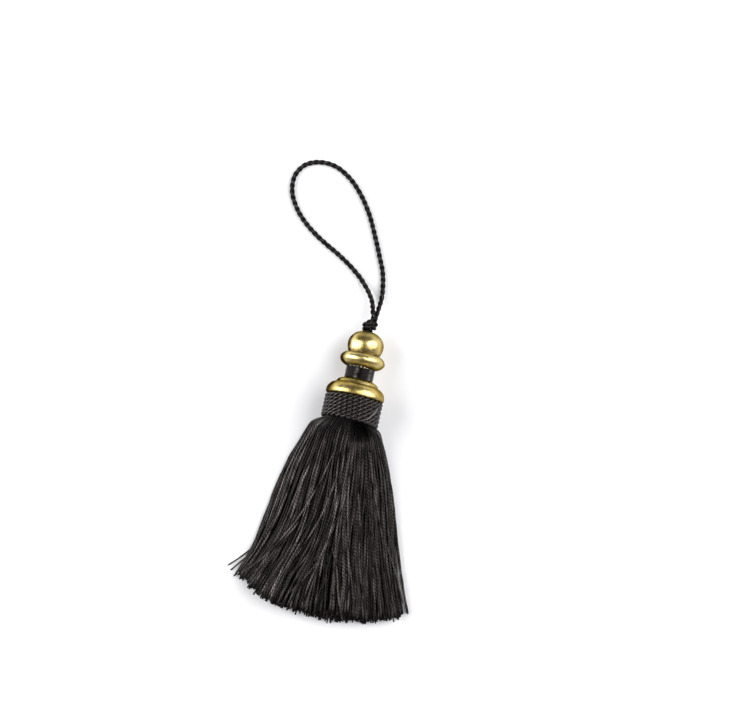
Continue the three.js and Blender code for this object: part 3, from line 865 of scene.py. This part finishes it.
def fanPlace(across, level, down):
    # a place in the laid-out fan: across from -1 to 1, level from 0 at the floor to 1 on top
    s, side = skirt, np.clip(across, -1, 1)
    bulge = s["bulgeLeft"] + (s["bulgeRight"] - s["bulgeLeft"]) * (side + 1) / 2
    bulge = bulge * np.exp(-((down - s["bulgeMiddle"]) / s["bulgeWidth"])**2)
    flare = np.where(side < 0, s["flareLeft"], s["flareRight"])
    flare = flare * smoothStep(down, *s["flareSpan"]) * np.abs(side)
    pinch = s["pinch"] * smoothStep(side, 0, 1) * np.exp(-(down / s["pinchLong"])**2)
    angle = np.radians(s["turn"] + s["spread"] * across * (1 + bulge + flare - pinch))
    reach = s["bandToHub"] + down
    crownTop = head["domeRadius"] + s["bundleRadius"]
    crown = s["crownEnd"] + (crownTop - s["crownEnd"]) * np.exp(-np.maximum(down, 0) / s["crownFall"])
    outline = (1 - np.abs(side)**s["fullness"])**s["shoulder"]
    shown = smoothStep(down / s["length"], *s["lockSpan"])
    top = s["edgeHeight"] + (crown - s["edgeHeight"]) * outline + shown * ridgeRise(side)
    bottom = s["edgeHeight"] * np.maximum(0, 1 - (1 - np.abs(side)) / s["edgeRound"])
    height = bottom + (top - bottom) * level
    return np.stack([s["hubX"] + reach * np.sin(angle), s["hubY"] - reach * np.cos(angle), height], axis=-1)


def settled(down):
    # 0 in the band, 1 where the bundle has become the fan
    return np.sin(np.clip((down + skirt["settleFrom"]) / skirt["settle"], 0, 1) * math.pi / 2)


def yarnPlace(u, v, down):
    # u and v lie in the bundle's round section, which the fan spreads out
    s = skirt
    chord = np.sqrt(np.maximum(1 - np.clip(u, -0.999, 0.999)**2, s["chordLeast"]))
    fan = fanPlace(u, np.clip(v / chord, -s["levelMost"], s["levelMost"]) / 2 + 0.5, down)
    tight = s["bundleRadius"] * s["bundleFill"]
    bundle = fromHead(np.stack([u * tight, -s["bandBottom"] - down, v * tight], axis=-1))
    return bundle + (fan - bundle) * settled(down)[..., None]


def evenPlaces(count, turned=0.0):
    # places spread evenly in a round section
    index = np.arange(count)
    ray, turn = np.sqrt((index + 0.5) / count), index * math.pi * (3 - math.sqrt(5)) + turned
    return ray * np.cos(turn), ray * np.sin(turn)


def curlOf(u, heights, way):
    # the outer yarns bow in on the way down and turn out at their tips
    s, off = skirt, u - skirt["curlMiddle"]
    upper = s["curlUnder"] + (1 - s["curlUnder"]) * np.clip(heights + 0.2, 0, 1)
    curl = np.where(off < 0, -s["curlLeft"], s["curlRight"]) * upper * np.clip(np.abs(off) * 3, 0, 1)
    bow = s["bowIn"] * np.sin(np.clip(way / s["bowEnd"], 0, 1) * math.pi)
    return curl[:, None] * (smoothStep(way, *s["curlSpan"]) - bow)


def hollowAt(across, down, long):
    # the dip under the band, right of the middle
    s = skirt
    return (np.exp(-((across - s["hollowAcross"]) / s["hollowWide"])**4)
            * np.exp(-((down - s["hollowDown"]) / long)**4))


def yarnLines():
    s, luck = skirt, np.random.default_rng(skirt["seed"])
    count, locks = s["yarns"], s["locks"]
    u, v = evenPlaces(count)
    lockU, lockV = evenPlaces(locks, luck.normal(0, s["lockTurn"], locks))
    lock = np.argmin((u[:, None] - lockU)**2 + (v[:, None] - lockV)**2, axis=1)

    def ofLocks(values):
        return values[lock][:, None]

    heights = v / np.sqrt(np.maximum(1 - u**2, s["heightLeast"]))
    onTop = np.clip(heights, 0, 1)[:, None]
    length = (s["length"] + ridgeLonger(u) - s["bevel"] * (1 - u**2) * (heights + 1) / 2
              + luck.normal(0, s["lockRagged"], locks)[lock] + luck.normal(0, s["ragged"], count))[:, None]
    near, far = s["firstSteps"], s["evenFrom"]
    down = np.concatenate([np.broadcast_to(near, (count, len(near))),
                           far + (length - far) * np.linspace(0, 1, s["evenSteps"])], axis=1)
    way = np.clip(down / s["length"], 0, 1.1)
    sway = s["sway"] * np.sin(way * ofLocks(luck.uniform(*s["swayWaves"], locks))
                              + ofLocks(luck.uniform(0, s["anyPhase"], locks)))
    slant, swing = (luck.normal(0, s["drift"], count)[:, None] for draw in range(2))
    phase = luck.uniform(0, s["anyPhase"], count)[:, None]
    drift = slant * way * 2 + swing * np.sin(way * s["driftWaves"] + phase)
    crossing = (np.where(lockU < s["sweepSplit"], -1.0, s["sweepBack"]) * s["sweep"]
                * np.clip(lockV + s["sweepLift"], 0, 1)) + luck.normal(0, s["crossing"], locks)
    crossing = ofLocks(crossing * (luck.random(locks) < s["crossers"]))
    wanderer = (luck.random(count) < s["wanderers"])[:, None]
    wander = luck.normal(0, s["wander"], count)[:, None] * wanderer
    sway = sway + (crossing + wander) * smoothStep(way, *s["crossSpan"]) + curlOf(u, heights, way)
    pull = s["pull"] * smoothStep(way, *s["pullSpan"])
    spreadU = (u[:, None] + (lockU[lock] - u)[:, None] * pull
               + (sway + drift) * smoothStep(way, *s["moveSpan"]) * (1 - np.abs(u[:, None])**4))
    lines = yarnPlace(spreadU, v[:, None] + (lockV[lock] - v)[:, None] * pull, down)
    lifted = ofLocks(luck.normal(0, s["lift"], locks))
    waves = np.sin(way * s["liftWaves"] + ofLocks(luck.uniform(0, s["anyPhase"], locks)))
    lines[..., 2] += lifted * waves * smoothStep(way, *s["liftSpan"]) * onTop
    over = np.abs(crossing) * s["crossLift"] + wanderer * s["wanderLift"]
    lines[..., 2] += over * smoothStep(way, *s["overSpan"]) * onTop
    dip = hollowAt(spreadU, down, s["hollowLong"]) * s["hollowDeep"] * np.clip(heights + 0.1, 0, 1)[:, None]
    lines[..., 2] -= dip * (down > -1)
    thick = s["thin"] + (1 - s["thin"]) * smoothStep(down, *s["thinSpan"])
    thick = thick * luck.uniform(*s["sizes"], count)[:, None]
    thick[:, -1] *= s["endThin"]
    # painted shade: yarns darken at their cut ends, near the band under its shade, and in the hollow below it
    cut = 1 - np.clip((length - down) / s["tipShade"], 0, 1)
    shadeLong = s["shadeLong"] * (s["shadeLeft"] + (1 - s["shadeLeft"]) * np.clip(0.5 + spreadU, 0, 1))
    shade = (1 - smoothStep(down, s["shadeFrom"], s["shadeFrom"] + shadeLong)) * s["shade"]
    hollow = hollowAt(spreadU, down, s["hollowShadeLong"])
    # painted sheen: random yarns and locks get pale patches that stand in for their sheen
    tint = luck.exponential(s["yarnSheen"], count) + luck.normal(0, s["lockSheen"], locks)[lock]
    return u, dict(lines=lines, thick=thick, free=smoothStep(down, *s["freeSpan"]),
                   dim=np.clip(np.maximum(np.maximum(cut, shade), hollow), 0, 1),
                   tint=np.broadcast_to(np.clip(tint, 0, 1)[:, None], down.shape),
                   yarn=np.broadcast_to(np.arange(count, dtype=float)[:, None], down.shape))


def fringe(name, lines, material, radius, crimp, nodes, **values):
    values = {label: list(numbers) for label, numbers in values.items()}
    settings = {"Yarn Radius": radius * mm, "Crimp": crimp * mm, "Crimp Length": skirt["crimpLength"] * mm,
                "Seed": skirt["crimpSeed"], "Sides": skirt["sides"], "Material": material}
    piece = grown(name, pathMesh(name + "Guide", list(lines), **values), yarnFringe, settings)
    join(piece, "cut_yarn", *nodes)


def cutSkirt():
    # four pieces side by side, each a quarter of the yarns
    u, yarns = yarnLines()
    for place, chosen in zip(("Left", "MidLeft", "MidRight", "Right"), np.array_split(np.argsort(u), 4)):
        fringe("skirtYarn" + place, material=yarnBlack, radius=skirt["yarnRadius"], crimp=skirt["crimp"],
               nodes=("yarn_skirt",), **{label: values[np.sort(chosen)] for label, values in yarns.items()})


cutSkirt()


# stray yarns; each path is across and down, from where a yarn shows to where it goes under

# each group's sheen number sets how pale its yarns' painted sheen is; so too for the pale end and the tuft
# below
strays = dict(
    radius=0.4, tint=0.62, first=2000, over=0.35, dive=1.3, diveIn=0.15, diveOut=0.9, nearLift=9,
    paths=[[(0.0, 52), (-0.05, 62), (-0.2, 74), (-0.4, 88)],
           [(-0.5, 52), (-0.6, 60), (-0.73, 72), (-0.86, 86)],
           [(-0.45, 58), (-0.48, 66), (-0.53, 76), (-0.62, 90)],
           [(0.8, 56), (0.87, 66), (0.92, 74), (0.95, 88)],
           [(-0.2, 12), (-0.33, 30), (-0.52, 50), (-0.78, 72), (-0.97, 88)],
           [(0.2, 20), (0.12, 38), (-0.02, 56), (-0.16, 74)], [(0.6, 14), (0.66, 34), (0.75, 52), (0.8, 70)],
           [(0.35, 30), (0.42, 48), (0.44, 66), (0.5, 84)],
           [(-0.05, 24), (-0.16, 42), (-0.33, 60), (-0.5, 76)],
           [(0.05, 60), (0.16, 72), (0.2, 82), (0.28, 95)],
           [(0.81, 1.2), (0.9, 4.0), (0.98, 10.5), (0.985, 16)]])
edgeStrays = dict(
    radius=0.36, tint=0.3, first=2100, low=0.5, wave=0.5, waveTurn=0.2,
    paths=[[(-0.93, 66), (-1.0, 74), (-1.07, 81), (-1.12, 86)], [(-0.96, 74), (-1.02, 81), (-1.065, 87.5)],
           [(0.93, 50), (0.97, 66), (0.98, 80), (0.985, 92)], [(-0.97, 30), (-1.0, 42), (-0.99, 55)],
           [(0.95, 22), (0.99, 34), (0.985, 48)]])


def strayPath(path, count=40, wide=40):
    line = evenOut(smoothLine([(across * wide, down, 0) for across, down in path], 1.0), count)
    across, down = line[:, 0] / wide, line[:, 1]
    return across, down, yarnPlace(across, np.zeros(count), down)


def topStray(path):
    across, down, line = strayPath(path)
    top, share, run = fanPlace(across, np.ones(len(line)), down), settled(down), np.linspace(0, 1, len(line))
    line[:, 2] = top[:, 2] * share + (1 - share) * (line[:, 2] + strays["nearLift"])
    under = 1 - smoothStep(run, 0, strays["diveIn"]) + smoothStep(run, strays["diveOut"], 1.0)
    line[:, 2] += strays["over"] - strays["dive"] * under
    return line


def edgeStray(path):
    across, down, line = strayPath(path)
    low = edgeStrays["low"] + edgeStrays["wave"] * np.abs(np.sin(down * edgeStrays["waveTurn"]))
    line[:, 2] = np.minimum(line[:, 2], low)
    return line


def looseEnds(name, lines, material, look, *nodes):
    # a few yarns or fibres of one kind, numbered from first on, which sets the noise of each
    flat = [np.ones(len(line)) for line in lines]
    fringe(name, lines, material, look["radius"], look.get("crimp", skirt["crimp"]), nodes, thick=flat,
           free=[0.5 * one for one in flat], dim=[0 * one for one in flat],
           tint=[look["tint"] * one for one in flat],
           yarn=[(look["first"] + i) * one for i, one in enumerate(flat)])


looseEnds("strayYarns", list(map(topStray, strays["paths"])), yarnBlack, strays, "yarn_skirt")
looseEnds("edgeYarns", list(map(edgeStray, edgeStrays["paths"])), yarnBlack, edgeStrays, "yarn_skirt")


# what ends at the band: a pale thread tucked in, and a tuft where the cord ends

paleEnd = dict(radius=0.16, crimp=0.3, tint=0.4, first=2200, ring=14.28, sunk=(1.1, 0, 0, 0, 1.1), step=0.4,
               slant=[(28, -3.2), (35, -4.5), (45, -7.3), (53, -9.7), (56, -10.5)])  # angle and height
tuft = dict(radius=0.09, crimp=0.4, tint=0.8, first=2300, seed=3, fibres=9, steps=6, angle=141.0,
            height=-12.0, ring=13.2, turn=6, long=1.5, falls=(0.4, 1.0), out=(0.6, 1.6))


def onBand(angle, height, radius):
    return fromHead(roundHead(np.radians(angle), height, radius))


def paleEndLine():
    angle, height = np.array(paleEnd["slant"], float).T
    return smoothLine(onBand(angle, height, paleEnd["ring"] - np.array(paleEnd["sunk"])), paleEnd["step"])


def tuftLines():
    luck, way, fibres = np.random.default_rng(tuft["seed"]), np.linspace(0, 1, tuft["steps"]), []
    for fibre in range(tuft["fibres"]):
        turn, fall = luck.normal(0, tuft["turn"]), luck.uniform(*tuft["falls"]) * tuft["long"]
        fibres.append(onBand(tuft["angle"] + turn * way, tuft["height"] - fall * way,
                             tuft["ring"] + way * luck.uniform(*tuft["out"])))
    return fibres


looseEnds("paleThreadEnd", [paleEndLine()], threadPale, paleEnd)
looseEnds("cordEndTuft", tuftLines(), yarnBlack, tuft)


# floor, lights and air, in metres and degrees

studio = dict(
    floorSize=3.0, floorBelow=0.0001, floorColor=(0.83, 0.83, 0.85, 1), floorRough=0.9, floorShine=0.1,
    speckScale=14.0, speckDark=0.99, leftPower=16.5, rightPower=15.5, wide=0.88, deep=1.25, away=1.0,
    leftAngle=58, rightAngle=44, towardsSkirt=-0.18, aimY=0.03, horizonLeft=(0.1, 0.085, 0.07, 1),
    horizonRight=(0.45, 0.45, 0.47, 1), sideSpan=(-0.6, 0.6), overhead=(0.07, 0.068, 0.07, 1),
    upSpan=(0.25, 0.8))


def paleFloor():
    half, low = studio["floorSize"] / 2, -studio["floorBelow"]
    mesh = bpy.data.meshes.new("paleFloor")
    mesh.from_pydata([(-half, -half, low), (half, -half, low), (half, half, low), (-half, half, low)], [],
                     [(0, 1, 2, 3)])
    settings = {"Roughness": studio["floorRough"], "Specular IOR Level": studio["floorShine"]}
    material, tree, surface = newMaterial("paleFloor", settings)
    place = add(tree, "ShaderNodeTexCoord").outputs["Object"]
    speck = noise(tree, studio["speckScale"], detail=3.0, Vector=place)
    color = studio["floorColor"]
    darker = tuple(studio["speckDark"] * value for value in color[:3]) + (1,)
    plug(tree, surface["Base Color"], mixed(tree, speck, color, darker))
    mesh.materials.append(material)
    return placed("paleFloor", mesh)


def softBox(name, angle, power, side):
    light = bpy.data.lights.new(name, "AREA")
    light.shape, light.size, light.size_y, light.energy = "RECTANGLE", studio["wide"], studio["deep"], power
    box = bpy.data.objects.new(name, light)
    angle = math.radians(angle)
    direction = Vector((side * math.sin(angle), -studio["towardsSkirt"], math.cos(angle))).normalized()
    direction.rotate(Matrix.Rotation(math.radians(camera["turn"]), 3, "Z"))
    box.location = Vector((0, studio["aimY"], 0)) + direction * studio["away"]
    box.rotation_euler = direction.to_track_quat("Z", "Y").to_euler()
    box.visible_camera = False
    bpy.context.scene.collection.objects.link(box)


def studioAir():
    world = bpy.data.worlds.new("studioAir")
    world.use_nodes = True
    tree = world.node_tree
    way = partsOf(tree, add(tree, "ShaderNodeTexCoord").outputs["Generated"])
    aside = ranged(tree, way[0], *studio["sideSpan"])
    horizon = mixed(tree, aside, studio["horizonLeft"], studio["horizonRight"])
    air = mixed(tree, ranged(tree, way[2], *studio["upSpan"]), horizon, studio["overhead"])
    back = tree.nodes["Background"].inputs
    plug(tree, back["Color"], air)
    back["Strength"].default_value = 1.0
    bpy.context.scene.world = world


paleFloor()
softBox("softBoxLeft", studio["leftAngle"], studio["leftPower"], -1)
softBox("softBoxRight", studio["rightAngle"], studio["rightPower"], 1)
studioAir()
bpy.context.scene.view_settings.view_transform = "Standard"
print("studio lit")
